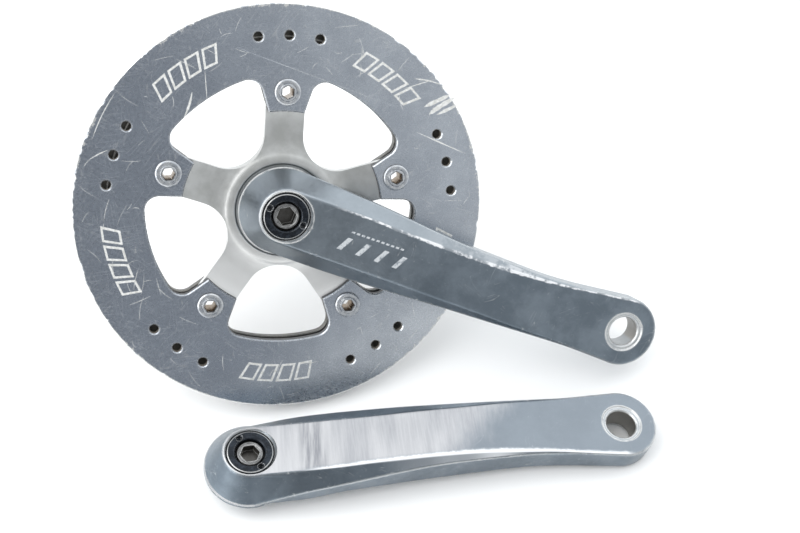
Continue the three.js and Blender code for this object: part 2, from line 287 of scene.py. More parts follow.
def flank_profile(face_edge, face, flank, flank_height, back):
    """From the flat face out over the bevel and down the side to the back, as (distance, height) points."""
    steps = 4
    points = rounded([(face_edge - 3, face, 0), (face_edge, face, 0.9), (flank, flank_height, 0.7),
                      (flank - 0.7, back, 2.2), (flank - 5, back, 0)], steps)
    held = []
    for i, (here, after) in enumerate(zip(points, points[1:])):
        held.append(here)
        if i in (0, steps + 1, 2 * (steps + 1), 3 * (steps + 1)):  # keeps each flat's shading flat
            held += [here + (after - here) * share for share in (0.08, 0.92)]
    return held + [points[-1]]


def arm_body(name, mirror, place):
    """The arm's forged body: a closed band of flank profiles round its outline, filled across both faces."""
    stations = np.linspace(0, ARM_LENGTH, 101)
    face, height, back = (eased(t, stations) for t in (FACE_HEIGHT, FLANK_HEIGHT, BACK_HEIGHT))
    sides = []
    for edge_table, flank_table in ((FACE_UPPER, FLANK_UPPER), (FACE_LOWER, FLANK_LOWER)):
        edge, flank = eased(edge_table, stations), eased(flank_table, stations)
        sides.append([flank_profile(*v) for v in zip(edge, face, flank, height, back)])
    upper, lower = sides
    last = len(stations) - 1
    columns = [[(x, mirror * d, h) for d, h in p] for x, p in zip(stations, upper)]
    for t in np.linspace(0, 1, 42)[1:-1]:  # round the pedal eye
        angle = math.pi * (0.5 - t)
        blend = [(1 - t) * np.array(a) + t * np.array(b) for a, b in zip(upper[last], lower[last])]
        c, s = math.cos(angle), math.sin(angle)
        columns.append([(ARM_LENGTH + d * c, mirror * d * s, h) for d, h in blend])
    eye_end = len(columns)
    columns += [[(x, -mirror * d, h) for d, h in p] for x, p in zip(stations[::-1], lower[::-1])]
    boss_start = len(columns) - 1
    for t in np.linspace(0, 1, 62)[1:-1]:  # round the boss
        angle = -math.pi * (0.5 + t)
        columns.append([(d * math.cos(angle), mirror * d * math.sin(angle), h) for d, h in upper[0]])
    count, total = len(columns[0]), len(columns)
    points = [p for column in columns for p in column]
    faces = []
    for c in range(total):
        n = (c + 1) % total
        faces += [(c * count + i, n * count + i, n * count + i + 1, c * count + i + 1)
                  for i in range(count - 1)]
    for rim in (0, count - 1):
        across = [(i, i + 1, boss_start - i - 1, boss_start - i) for i in range(last)]
        across.append(tuple(range(last, eye_end + 1)))
        across.append(tuple(range(boss_start, total)) + (0,))
        faces += [tuple(c * count + rim for c in ring) for ring in across]
    return make(name, points, faces, place)


def crank_arm(name, mirror, hub_back, hub_radius, place):
    """An arm with its boss and hub, bored for the cap and bolt, the square spindle and the pedal."""
    arm = arm_body(name, mirror, place)
    base = [(0, -4.5, 0), (BOSS_RADIUS, -4.5, 0.5), (BOSS_RADIUS, -2, 0), (0, -2, 0)]
    hub = [(0, hub_back, 0), (hub_radius, hub_back, 0.8), (16.3, -4, 0), (0, -4, 0)]
    combine(arm, "UNION", [lathe("base", base, place, 120), lathe("hub", hub, place)])
    bore = [(0, 3, 0), (11.1, 3, 0), (11.1, 10.7, 0.2), (11.9, 11.9, 0.3), (13.2, 15, 0), (0, 15, 0)]
    bolt_way = [(0, -30, 0), (4.4, -30, 0), (4.4, 5, 0), (0, 5, 0)]
    pedal_hole = [(0, 0, 0), (8.2, 0, 0), (8.2, 5.4, 0), (7.1, 6.5, 0.3), (7.1, 17.7, 0.3), (7.8, 18.4, 0.2),
                  (9.1, 18.4, 0.2), (9.6, 19.05, 0), (9.6, 22, 0), (0, 22, 0)]
    return combine(arm, "DIFFERENCE", [
        lathe("bore", bore, place, 120),
        lathe("bolt_way", bolt_way, place, 48),
        prism("square", 4, 8.98, hub_back - 1, 0.5, place, turn=math.pi / 4, taper=1.03),
        lathe("hole", pedal_hole, place, 96, (ARM_LENGTH, 0)),
    ])


# ---- Spider
def spider(place):
    """A star cut out of a dished, turned body that has a round lip about the arm's boss."""
    half_width = 8.9
    tip = 61 - half_width
    star = []
    for angle in BOLT_ANGLES:
        fillet = polar(42.7, PITCH / 2)
        star += spun(arc(tip, 0, half_width, -90, 90, 24) + arc(*fillet, 16.2, 270, 162, 28), angle)
    plate = slab("spider", star, [], -13, -3.8, 0.3, place)
    body = lathe("body", [
        (16.6, -13, 0), (25, -13, 1.5), (34, -10.4, 6), (46, -8.1, 3), (63, -8.1, 0), (63, -4.3, 0),
        (47, -4.3, 2.2),
        (43, -5.6, 3), (33, -6.7, 6), (27, -5.7, 3), (24.8, -4.6, 1.6), (21.9, -4.3, 1.2), (21.3, -5.2, 0.4),
        (16.6, -5, 0)], place, 160)
    combine(plate, "INTERSECT", [body])
    holes = [prism("hole", 40, BOLT_HOLE, -20, 0, place, polar(BOLT_CIRCLE, a)) for a in BOLT_ANGLES]
    combine(plate, "DIFFERENCE", holes)
    return plate


def spider_lockring(place):
    ring = lathe("spider_lockring", [(16.8, -16.8, 0.4), (22, -16.8, 0.6), (23, -15.6, 0.4), (23, -13.3, 0.3),
                                     (16.8, -13.3, 0)], place)
    notches = [prism("notch", 24, 2.3, -20, -10, place, polar(23.4, 45 * k)) for k in range(8)]
    return combine(ring, "DIFFERENCE", notches)


# ---- Guard ring
def worn_rim(radius, count=1080):
    """The guard's outer edge, chipped and filed by knocks."""
    angles = np.linspace(0, 2 * np.pi, count, endpoint=False)
    depth = np.zeros(count)
    for k in range(110):
        # all round first, then where it has been hit
        worst = ((0, 2 * np.pi), (2.3, 3.9), (0.85, 1.25))[min(k // 45, 2)]
        centre = RNG.uniform(*worst)
        width = RNG.uniform(0.003, 0.02)
        cut = RNG.uniform(0.1, 0.75) ** 1.5
        away = (angles - centre + np.pi) % (2 * np.pi) - np.pi
        depth += cut * np.clip(1 - (away / width) ** 2, 0, 1)
    for k in range(3, 9):
        depth += 0.02 * (1 + np.sin(k * angles + RNG.uniform(0, 6)))
    reach = radius - np.minimum(depth, 0.8)
    return list(zip(reach * np.cos(angles), reach * np.sin(angles)))


def window(grow):
    """A window's outline grown by an amount: flared sides, round corners, a shallow outer arc, y outward."""
    rim_end = math.degrees(math.atan2(WINDOW_CORNER[1] - WINDOW_RIM_CENTRE, WINDOW_CORNER[0]))
    out, up = polar(grow, -WINDOW_SLANT)
    corner = arc(*WINDOW_CORNER, WINDOW_CORNER_RADIUS + grow, -WINDOW_SLANT, rim_end, 14)
    side = [(WINDOW_SIDE[0] + out, WINDOW_SIDE[1] + up)] + corner
    rim = arc(0, WINDOW_RIM_CENTRE, WINDOW_RIM_RADIUS + grow, rim_end, 180 - rim_end, 20)[1:-1]
    return side + rim + [(-x, y) for x, y in reversed(side)]


def tabbed_opening(grow, tab_radius):
    """The inner edge of the guard and the chainring: five windows with tabs between them."""
    outline = window(grow)
    start = math.degrees(math.atan2(outline[0][1], outline[0][0]))
    tab_edge = arc(0, 0, tab_radius, 180 - start, start + PITCH, 10)[1:-1]
    return [p for a in BOLT_ANGLES for p in spun(outline + tab_edge, a + PITCH / 2 - 90)]


def bolt_holes():
    return [arc(*polar(BOLT_CIRCLE, a), BOLT_HOLE, 0, 350, 35) for a in BOLT_ANGLES]


def bash_guard(place):
    """The flat ring with its windows, its groups of three small holes, and a battered rim."""
    inner = tabbed_opening(0, GUARD_TAB_RADIUS)
    small = [arc(*polar(SMALL_HOLE_CIRCLE, a + SMALL_HOLE_STEP * k), SMALL_HOLE_RADIUS, 0, 345, 23)
             for a in BOLT_ANGLES for k in (-1, 0, 1)]
    return slab("bash_guard", worn_rim(GUARD_RADIUS), [inner] + small + bolt_holes(), -4, 0, 0.45, place)


def inlay(name, shapes, place, rise=None, depth=0.3, proud=0.02):
    """Closed slivers let into a face: each shape is (outer, holes), and rise gives the face's height."""
    points, faces = [], []
    for outer, holes in shapes:
        loops = [list(loop) for loop in [outer, *holes]]
        flat = [p for loop in loops for p in loop]
        first, count = len(points), len(flat)
        for level in (-depth, proud):
            points += [(x, y, (rise(x) if rise else 0) + level) for x, y in flat]
        for triangle in tessellate_polygon([[Vector((x, y, 0)) for x, y in loop] for loop in loops]):
            faces += [tuple(first + i for i in triangle), tuple(first + count + i for i in triangle)]
        start = first
        for loop in loops:
            size = len(loop)
            faces += [(start + i, start + (i + 1) % size, start + count + (i + 1) % size, start + count + i)
                      for i in range(size)]
            start += size
    return make(name, points, faces, place)


def slanted(width, height, x, y, lean=0.35):
    """A leaning bar's outline about its middle."""
    corners = ((-width, -height), (width, -height), (width, height), (-width, height))
    return [(x + u / 2 + lean * v / 2, y + v / 2) for u, v in corners]


def guard_mark(index, place):
    """A plain engraved badge, four leaning open bars, over each window of the guard."""
    angle = math.radians(BOLT_ANGLES[index] + PITCH / 2)

    def wrap(outline, radius=78):
        return [((radius + v) * math.cos(angle - u / radius), (radius + v) * math.sin(angle - u / radius))
                for u, v in outline]

    bars = [(wrap(slanted(7, 8.6, x, 0)), [wrap(slanted(4.8, 6.6, x, 0))[::-1]])
            for x in (-12.6, -4.2, 4.2, 12.6)]
    return inlay(f"guard_mark_{index + 1}", bars, place)


def scratch(start, end, width, bow=0.0, steps=8):
    """A sliver's outline from start to end, pointed at both ends and bowed to one side."""
    start, end = np.array(start), np.array(end)
    along = end - start
    across = np.array((-along[1], along[0])) / np.linalg.norm(along)
    shares = np.linspace(0, 1, steps + 1)
    line = [start + along * t + across * bow * math.sin(math.pi * t) for t in shares]
    half = [width / 2 * math.sin(math.pi * t) ** 0.6 * RNG.uniform(0.6, 1.2) for t in shares]
    half[0] = half[-1] = 0.01
    return [p + across * h for p, h in zip(line, half)] + [p - across * h for p, h in zip(line, half)][::-1]


def on_guard(outline):
    """Whether a scratch lies on the guard's flat face, clear of its windows, holes and bolts."""
    for x, y in outline:
        reach = math.hypot(x, y)
        turn = (math.degrees(math.atan2(y, x)) - FIRST_BOLT + PITCH / 2) % PITCH - PITCH / 2
        by_holes = abs(turn) < 13 and abs(reach - SMALL_HOLE_CIRCLE) < 3.5
        if reach > 93.5 or reach < 64 or by_holes:
            return False
    return True


def guard_scratches(place):
    """Gouges from a knock at the guard's upper right, one long scratch, and many hair-fine ones."""
    cuts = [scratch((45, 67.4), (54.7, 76.8), 2.2), scratch((48.5, 65), (57.5, 76.5), 2.6, 0.4),
            scratch((52, 66), (60, 74), 1.6), scratch((36, 78), (49, 79.8), 0.7, 0.5),
            scratch((45.7, 55.4), (72.5, 53.8), 0.55), scratch((33, 72), (45, 81), 0.5),
            scratch((-54.9, 48.9), (-49.7, 36.8), 0.4), scratch((-57, 38), (-56.6, 25.8), 1.0, 0.5),
            scratch((-88, 27), (-91, 3), 0.4, -0.8), scratch((-89, -5), (-83, 1.5), 0.5, 0.3)]
    while len(cuts) < 95:
        angle, reach = RNG.uniform(0, 360), RNG.uniform(66, 92)
        way, length = RNG.uniform(0, 2 * math.pi), RNG.uniform(1.5, 12)
        start = polar(reach, angle)
        end = (start[0] + length * math.cos(way), start[1] + length * math.sin(way))
        cut = scratch(start, end, RNG.uniform(0.1, 0.24), RNG.uniform(-0.6, 0.6))
        if on_guard(cut):
            cuts.append(cut)
    return inlay("guard_scratches", [(cut, []) for cut in cuts], place)


def arm_print(place):
    """Worn printing on the drive arm's face: leaning bars and a row of small dashes, with no letters."""
    bars = [(slanted(2.3, 6.4, x, -2.8, 0.55), []) for x in (29, 38, 47, 56)]
    dashes = [(slanted(1.5, 0.9, x, 3.4), []) for x in np.arange(31, 56, 2.4)]
    stations = np.arange(0, 100.5, 0.5)
    heights = eased(FACE_HEIGHT, stations)

    def rise(x):
        return float(np.interp(x, stations, heights))

    return inlay("right_arm_print", bars + dashes, place, rise, 0.2, 0.03)


# ---- Chainring
def chainring(place):
    """A toothed plate and a thicker carrier that reaches in to the bolts."""
    pitch = 360 / TEETH
    outline = []
    for k in range(TEETH):
        gap = [(89 - 4 * math.cos(t), 4 * math.sin(t)) for t in np.radians(np.linspace(-62, 62, 9))]
        tip = [polar(91.4, 0.5 * pitch + s) for s in (-0.62, 0.62)]
        outline += spun(gap + tip, (k + 0.5) * pitch)
    plate = slab("chainring", outline, [arc(0, 0, 70, 0, 357, 119)], -11.4, -9.2, 0.35, place)
    inner = tabbed_opening(CHAINRING_GROWTH, CHAINRING_TAB_RADIUS)
    outer = arc(0, 0, 79.5, 0, 358.5, 239)
    carrier = slab("carrier", outer, [inner] + bolt_holes(), -12.2, -8.4, 0.4, place)
    return combine(plate, "UNION", [carrier])


# ---- Fasteners
def ring_bolt(index, place):
    spot = polar(BOLT_CIRCLE, BOLT_ANGLES[index])
    bolt = lathe(f"chainring_bolt_{index + 1}", [
        (0, -10.5, 0), (3.6, -10.5, 0.3), (4, -10, 0.3), (4, 0.3, 0), (6.05, 0.3, 0.2), (6.05, 0.8, 0.25),
        (5.3, 1.25, 0.2), (4.3, 1.25, 0.15), (4.1, 1.05, 0.1), (3.9, 1.25, 0.15), (3.75, 1.9, 0.3),
        (0, 1.9, 0)], place, 72, spot)
    turn = RNG.uniform(0, 1)
    flare = prism("flare", 6, 3.5, 1.2, 2.4, place, spot, turn, 0.8)
    return combine(bolt, "DIFFERENCE", [prism("socket", 6, 2.95, -12, 3, place, spot, turn), flare])


def ring_nut(index, place):
    spot = polar(BOLT_CIRCLE, BOLT_ANGLES[index])
    nut = lathe(f"chainring_nut_{index + 1}", [
        (4.2, -13.9, 0.2), (5.4, -13.9, 0.3), (6.05, -13.3, 0.2), (6.05, -12.25, 0), (4.85, -12.25, 0),
        (4.85, -1.2, 0.2), (4.2, -1.2, 0.2)], place, 72, spot)
    slots = []
    for turn in (0.4, 0.4 + math.pi / 2):
        corners = ((-8, -0.7), (8, -0.7), (8, 0.7), (-8, 0.7))
        points = [(u, v, h) for h in (-14.5, -13.1) for u, v in corners]
        c, s = math.cos(turn), math.sin(turn)
        points = [(spot[0] + x * c - y * s, spot[1] + x * s + y * c, h) for x, y, h in points]
        faces = [(0, 1, 2, 3), (4, 5, 6, 7)] + [(k, (k + 1) % 4, 4 + (k + 1) % 4, 4 + k) for k in range(4)]
        slots.append(make("slot", points, faces, place))
    return combine(nut, "DIFFERENCE", slots)


def extractor_cap(side, pins_at, place):
    cap = lathe(f"{side}_extractor_cap", [
        (6.8, 7.4, 0.2), (10.8, 7.4, 0), (10.8, 10.55, 0.2), (10.1, 11, 0.15), (7.35, 11, 0.15),
        (6.8, 10.5, 0.2)], place, 144)
    pin = [(0, 8.8, 0), (1.15, 8.8, 0), (1.15, 10.6, 0.1), (1.75, 11.1, 0), (1.75, 12, 0), (0, 12, 0)]
    pins = [lathe("pin", pin, place, 40, polar(CAP_PIN_CIRCLE, pins_at + turn)) for turn in (0, 180)]
    return combine(cap, "DIFFERENCE", pins)


def crank_bolt(side, place, turn):
    bolt = lathe(f"{side}_crank_bolt", [
        (0, -7, 0), (3.2, -7, 0.3), (4, -6.2, 0.3), (4, 4.8, 0), (9.6, 4.8, 0.3), (9.6, 6.4, 0.3),
        (6.2, 6.4, 0.2), (6.2, 9.3, 0.2), (5.7, 9.8, 0.2), (5.1, 9.8, 0.2), (4.8, 9.5, 0), (0, 9.5, 0)], place, 96)
    return combine(bolt, "DIFFERENCE", [prism("hex", 6, 4.62, 5, 12, place, turn=turn)])


def bolt_washer(side, place):
    corners = [(4.4, 3.3, 0.2), (9.6, 3.3, 0.3), (9.6, 4.5, 0.3), (4.4, 4.5, 0.2)]
    return lathe(f"{side}_bolt_washer", corners, place)


# ---- Shader building
class Nodes:
    """Short ways to lay and link the nodes of one tree."""

    def __init__(self, tree):
        self.tree = tree
        tree.nodes.clear()

    def node(self, kind, **settings):
        made = self.tree.nodes.new(kind)
        for key, value in settings.items():
            setattr(made, key, value)
        return made

    def feed(self, value, socket):
        if isinstance(value, bpy.types.NodeSocket):
            self.tree.links.new(value, socket)
        else:
            socket.default_value = value

    def math(self, operation, *values, clamp=False):
        made = self.node("ShaderNodeMath", operation=operation, use_clamp=clamp)
        for value, socket in zip(values, made.inputs):
            self.feed(value, socket)
        return made.outputs[0]

    def vector(self, operation, *values):
        made = self.node("ShaderNodeVectorMath", operation=operation)
        for value, socket in zip(values, made.inputs):
            self.feed(value, socket)
        return made.outputs["Value" if operation in ("DOT_PRODUCT", "LENGTH") else 0]

    def span(self, value, low, high, out_low=0.0, out_high=1.0):
        """A value between low and high taken smoothly to a new range."""
        made = self.node("ShaderNodeMapRange", interpolation_type="SMOOTHSTEP")
        for socket, number in zip(made.inputs[:5], (value, low, high, out_low, out_high)):
            self.feed(number, socket)
        return made.outputs[0]

    def mix(self, share, first, second):
        made = self.node("ShaderNodeMix", data_type="RGBA")
        for value, socket in ((share, made.inputs[0]), (first, made.inputs[6]), (second, made.inputs[7])):
            self.feed(value, socket)
        return made.outputs[2]

    def both(self, *masks):
        """The product of masks."""
        total = masks[0]
        for mask in masks[1:]:
            total = self.math("MULTIPLY", total, mask)
        return total

    def either(self, *masks):
        """The largest of masks."""
        total = masks[0]
        for mask in masks[1:]:
            total = self.math("MAXIMUM", total, mask)
        return total

    def less(self, mask):
        return self.math("SUBTRACT", 1.0, mask)

    def split(self, vector, letter):
        made = self.node("ShaderNodeSeparateXYZ")
        self.feed(vector, made.inputs[0])
        return made.outputs[letter]


class Shader(Nodes):
    """One material: a Principled BSDF and the nodes that feed it, in the piece's own arm frame, in mm."""

    def __init__(self, name, **fixed):
        self.material = bpy.data.materials.new(name)
        self.material.use_nodes = True
        super().__init__(self.material.node_tree)
        self.surface = self.node("ShaderNodeBsdfPrincipled")
        self.feed(self.surface.outputs[0], self.node("ShaderNodeOutputMaterial").inputs[0])
        for socket, value in fixed.items():
            self.surface.inputs[socket.replace("_", " ")].default_value = value
        self.where = self.node("ShaderNodeAttribute", attribute_name=PLACE).outputs["Vector"]

    def place(self, stretch=(1, 1, 1), turn=0.0, shift=(0, 0, 0)):
        """The piece's coordinates turned about z, then stretched."""
        made = self.node("ShaderNodeMapping")
        made.inputs["Rotation"].default_value = (0, 0, turn)
        made.inputs["Location"].default_value = shift
        self.feed(self.where, made.inputs["Vector"])
        return self.vector("MULTIPLY", made.outputs[0], stretch)

    def noise(self, scale, detail=3, rough=0.5, vector=None, distortion=0.0):
        made = self.node("ShaderNodeTexNoise")
        self.feed(vector or self.where, made.inputs["Vector"])
        fixed = {"Scale": scale, "Detail": detail, "Roughness": rough, "Distortion": distortion}
        for socket, value in fixed.items():
            made.inputs[socket].default_value = value
        return made.outputs[0]

    def axis(self, letter):
        return self.split(self.where, letter)

    def facing(self, way):
        """How squarely the surface faces a way given in the row frame."""
        normal = self.node("ShaderNodeTexCoord").outputs["Normal"]
        return self.vector("DOT_PRODUCT", normal, tuple(way))

    def edges(self, radius, low=0.02, high=0.2):
        """1 along the piece's edges, within about radius mm."""
        bevel = self.node("ShaderNodeBevel", samples=4)
        bevel.inputs["Radius"].default_value = radius * MM
        normal = self.node("ShaderNodeNewGeometry").outputs["Normal"]
        return self.span(self.less(self.vector("DOT_PRODUCT", bevel.outputs[0], normal)), low, high)

    def scratches(self, spacing, width, turns, reach=0.55, shape=(0.12, 1, 1)):
        """Thin curved lines: where a stretched noise crosses its middle, broken up by another noise."""
        lines = None
        for turn in turns:
            drawn = self.noise(1 / spacing, 1, 0.4, self.place(shape, turn, (turn * 31, turn * 17, 0)), 0.35)
            line = self.span(self.math("ABSOLUTE", self.math("SUBTRACT", drawn, 0.5)), 0, width, 1, 0)
            patches = self.noise(0.09, 2, 0.6, self.place((1, 1, 1), turn, (9 * turn, 40, 3)))
            line = self.both(line, self.span(patches, reach, reach + 0.06))
            lines = line if lines is None else self.either(lines, line)
        return lines

    def bump(self, height, strength, distance, normal=None):
        made = self.node("ShaderNodeBump")
        made.inputs["Strength"].default_value = strength
        made.inputs["Distance"].default_value = distance * MM
        self.feed(height, made.inputs["Height"])
        if normal is not None:
            self.feed(normal, made.inputs["Normal"])
        return made.outputs[0]

    def finish(self, base=None, rough=None, normal=None, metal=None):
        names = {"Base Color": base, "Roughness": rough, "Normal": normal, "Metallic": metal}
        for socket, value in names.items():
            if value is not None:
                self.feed(value, self.surface.inputs[socket])
        return self.material


# Bare metal colour, also used for painted edge highlights on the arms.
BARE_METAL_AND_HIGHLIGHT = colour(226, 226, 224)
OUTBOARD = Vector((0, 0, 1))  # in an arm's own frame


def past_edge(s, mirror):
    """How far a place lies outside the face's upper edge, in mm."""
    tallest = 20.0
    curve = s.node("ShaderNodeFloatCurve")
    line = curve.mapping.curves[0]
    stations = np.linspace(0, ARM_LENGTH, 15)
    spots = [(x / ARM_LENGTH, y / tallest) for x, y in zip(stations, eased(FACE_UPPER, stations))]
    line.points[0].location, line.points[1].location = spots[0], spots[-1]
    for spot in spots[1:-1]:
        line.points.new(*spot)
    curve.mapping.update()
    s.feed(s.math("DIVIDE", s.axis("X"), ARM_LENGTH), curve.inputs["Value"])
    edge = s.math("MULTIPLY", curve.outputs[0], tallest)
    return s.math("SUBTRACT", s.math("MULTIPLY", s.axis("Y"), mirror), edge)


def painted_edge_highlight(s, mirror, frame_of, starts, ends):
    """A painted highlight: the bright line along the face's upper edge, from the boss to the pedal eye."""
    fray = s.span(s.noise(0.5, 4, 0.7), 0.3, 0.7, -0.3, 0.3)
    line = s.span(s.math("ADD", past_edge(s, mirror), fray), starts, ends)
    on_face = s.span(s.facing(frame_of.to_3x3() @ OUTBOARD), 0.84, 0.92)
    past_boss = s.span(s.axis("X"), 16, 34)
    before_eye = s.span(s.axis("X"), ARM_LENGTH - 2, ARM_LENGTH + 4, 0.95, 0)
    return s.both(line, on_face, past_boss, before_eye)


def arm_finish(name, mirror, tones, frame_of, line_ends, patchy):
    """Blue-grey satin anodising, faintly mottled and scuffed, worn to bare metal along its edges; the worn edges
    are partly a painted highlight, and a painted highlight line and each side's painted light and shade are added.
    """
    s = Shader(name, Metallic=0.94)
    base = s.mix(s.span(s.noise(0.05, 5, 0.65), 0.35, 0.65), colour(104, 114, 123), colour(124, 134, 143))
    speck = s.span(s.noise(1.1, 3, 0.7), 0.67, 0.73)
    fine = s.scratches(3.2, 0.006, (0.4, 1.6, 2.5), 0.58)
    # Bare metal along the edges: partly real edge wear, partly a painted highlight on the edge fillets.
    edge_wear_and_highlight = s.both(s.edges(1.1, 0.004, 0.018), s.span(s.noise(0.13, 5, 0.7), 0.3, 0.5, 0.45, 1))
    chipped = s.both(s.edges(2.4, 0.003, 0.02), s.span(s.noise(0.45, 5, 0.75), 0.6, 0.64))
    marks = s.both(s.either(fine, speck), 0.35)
    from_eye = s.vector("LENGTH", s.vector("SUBTRACT", s.place((1, 1, 0)), (ARM_LENGTH, 0, 0)))
    from_spindle = s.vector("LENGTH", s.place((1, 1, 0)))
    seat = s.both(s.span(from_eye, 9.5, 9.9, 0.4, 0), s.span(s.axis("Z"), 16.5, 17.8))
    mouth = s.both(s.span(from_spindle, 12.1, 12.6, 0.2, 0), s.span(s.axis("Z"), 8, 10))
    # Bare metal from wear, chips, marks and machined seats, together with the painted highlight carried by the
    # worn edges.
    bare = s.either(edge_wear_and_highlight, chipped, marks, seat, mouth)
    base = s.mix(bare, base, BARE_METAL_AND_HIGHLIGHT)
    threads = s.both(s.span(from_eye, 7.3, 7.6, 1, 0), s.span(s.axis("Z"), 17.6, 17.9, 1, 0), 0.85)
    base = s.mix(threads, base, colour(146, 142, 136))
    # Painted highlight: a pale line along the face's upper edge, broken into patches on the drive arm.
    lit = painted_edge_highlight(s, mirror, frame_of, *line_ends)
    if patchy:
        lit = s.both(lit, s.span(s.noise(0.16, 5, 0.75), 0.42, 0.54, 0.2, 1))
    base = s.mix(lit, base, colour(236, 237, 239))
    cone = s.both(s.span(from_spindle, 19.5, 22, 1, 0), s.span(s.axis("Z"), 10.4, 11.4, 1, 0))
    normal = s.bump(s.either(fine, chipped), 0.25, 0.05, s.bump(s.noise(5, 2, 0.6), 0.1, 0.04))
    base, normal = tones(s, base, normal, cone, bare, lit)
    rough = s.span(s.noise(0.7, 3, 0.6), 0.3, 0.7, 0.28, 0.38)
    # Less metallic on the highlight line and worn edges, so these painted highlights stay bright.
    metal = s.math("SUBTRACT", 0.94, s.both(s.either(lit, edge_wear_and_highlight, chipped), 0.62))
    return s.finish(base, rough, normal, metal)


def drive_painted_sheen(s, base, normal, cone, bare, lit):
    """Painted sheen: paler on the upper bevel, round the boss and along the start of the face."""
    unworn = s.less(s.either(bare, lit))
    # Painted reflection: the bevel is made paler according to which way it faces.
    bevel = s.both(s.span(s.facing(DRIVE.to_3x3() @ Vector((0, 1, 0))), 0.28, 0.5), 0.6)
    paler = s.either(bevel, s.both(cone, 0.5), s.span(s.axis("X"), 15, 85, 0.25, 0))
    return s.mix(s.both(paler, unworn), base, colour(158, 164, 169)), normal


def left_painted_light_and_wear(s, base, normal, cone, bare, lit):
    """Painted shade in front of the boss and on the front bevel, with a face worn down to brushed metal that also
    carries painted reflections.
    """
    unworn = s.less(s.either(bare, lit))
    # Painted shade: darker on the front of the boss cone and on the front bevel, set by which way the surface
    # faces.
    boss_front = s.both(s.span(s.facing((0.5, -0.85, 0.1)), 0.45, 0.8), cone)
    bevel = s.both(s.span(s.facing((0, -0.6, 0.8)), 0.93, 0.985), 0.7)
    base = s.mix(s.both(s.either(boss_front, bevel), 0.6, unworn), base, colour(68, 76, 84))
    # The face is lighter and worn to bare metal towards the boss: partly real wear, partly a painted reflection.
    on_face = s.span(s.facing(LEFT.to_3x3() @ OUTBOARD), 0.95, 0.985)
    base = s.mix(s.both(on_face, 0.75, unworn), base, colour(131, 138, 145))
    share = s.both(bare_reach(s), on_face)
    brushed = s.noise(1, 4, 0.7, s.place((1.3, 0.06, 0.3)))
    base = s.mix(s.both(share, s.less(lit)), base, bare_metal_and_reflections(s, brushed))
    return base, s.bump(s.both(brushed, share), 0.12, 0.04, normal)


def bare_reach(s):
    """1 from the boss to past the arm's middle, with a ragged limit."""
    ragged = s.noise(1, 4, 0.6, s.place((0.16, 0.05, 0.05), 0.1))
    wander = s.both(s.math("SUBTRACT", ragged, 0.5), 30)
    end = s.math("SUBTRACT", s.math("ADD", s.axis("X"), wander), s.both(s.axis("Y"), 0.9))
    return s.span(end, 88, 118, 1, 0)


def bare_metal_and_reflections(s, brushed):
    """Bare metal in pale and darker bands across the arm, partly real wear and partly painted reflection, with one
    painted dark reflection near the boss.
    """
    broad = s.noise(1, 2, 0.5, s.place((0.045, 0.012, 0.01), 0.12, (7, 0, 0)))
    tone = s.mix(s.span(broad, 0.4, 0.6), colour(158, 159, 163), colour(186, 186, 188))
    tone = s.mix(s.span(brushed, 0.35, 0.65, 0, 0.22), tone, colour(212, 212, 213))
    # A painted dark reflection across the face near the boss.
    dark_reflection = s.math("ADD", s.span(s.axis("X"), 20, 26), s.span(s.axis("X"), 30, 37, 0, -1))
    streaks = s.span(s.noise(1, 4, 0.65, s.place((0.35, 0.03, 0.05), 0.1, (3, 5, 0))), 0.35, 0.65, 0.1, 0.8)
    return s.mix(s.both(dark_reflection, streaks), tone, colour(122, 124, 130))


def guard_finish():
    """Satin grey with painted reflections that make it paler at its right and foot, and painted shade on the walls
    of its holes, dusted with tiny nicks that crowd towards its battered rim.
    """
    s = Shader("guard_anodised", Metallic=0.95)
    # Painted reflection: paler towards the right and towards the foot.
    across = s.math("ADD", s.axis("X"), s.axis("Y"))
    base = s.mix(s.span(across, -60, 130), colour(146, 153, 164), colour(182, 188, 196))
    foot = s.span(s.math("SUBTRACT", s.axis("X"), s.both(s.axis("Y"), 0.7)), 50, 108, 0, 0.85)
    base = s.mix(foot, base, colour(207, 212, 218))
    base = s.mix(s.span(s.noise(0.04, 5, 0.65), 0.35, 0.65, 0, 0.3), base, colour(128, 135, 146))
    reach = s.vector("LENGTH", s.place((1, 1, 0)))
    near_rim = s.span(reach, 80, 94, 0, 0.07)
    speck = s.span(s.math("ADD", s.noise(0.95, 4, 0.8), near_rim), 0.6, 0.68)
    fine = s.scratches(2.6, 0.010, (0.2, 1.1, 1.9, 2.7), 0.5)
    rub = s.both(s.edges(0.8, 0.02, 0.15), s.span(s.noise(0.3, 4, 0.7), 0.2, 0.4))
    knocked = s.span(s.noise(0.028, 2, 0.5), 0.45, 0.6, 1.5, 10)
    wander = s.both(s.math("SUBTRACT", s.noise(0.35, 5, 0.75), 0.5), knocked)
    rim = s.span(s.math("ADD", reach, wander), 93.5, 94.0)
    base = s.mix(s.either(rub, rim, s.both(s.either(fine, speck), 0.24)), base, BARE_METAL_AND_HIGHLIGHT)
    # Painted shade on the walls of the windows and small holes: dark grey in the windows, brown-grey in the small
    # holes, also rougher and less metallic there.
    walls = s.both(s.span(s.axis("Z"), -0.45, -0.7), s.span(reach, 90, 88))
    painted_recess_shade = s.mix(s.span(reach, 66, 72), colour(62, 60, 58), colour(150, 142, 130))
    base = s.mix(s.both(walls, 0.85), base, painted_recess_shade)
    rough = s.math("ADD", s.span(s.noise(0.8, 3, 0.6), 0.3, 0.7, 0.24, 0.34), s.both(walls, 0.4))
    normal = s.bump(s.either(fine, rim), 0.3, 0.06, s.bump(s.noise(4, 2, 0.6), 0.1, 0.04))
    return s.finish(base, rough, normal, s.math("SUBTRACT", 0.95, s.both(walls, 0.8)))


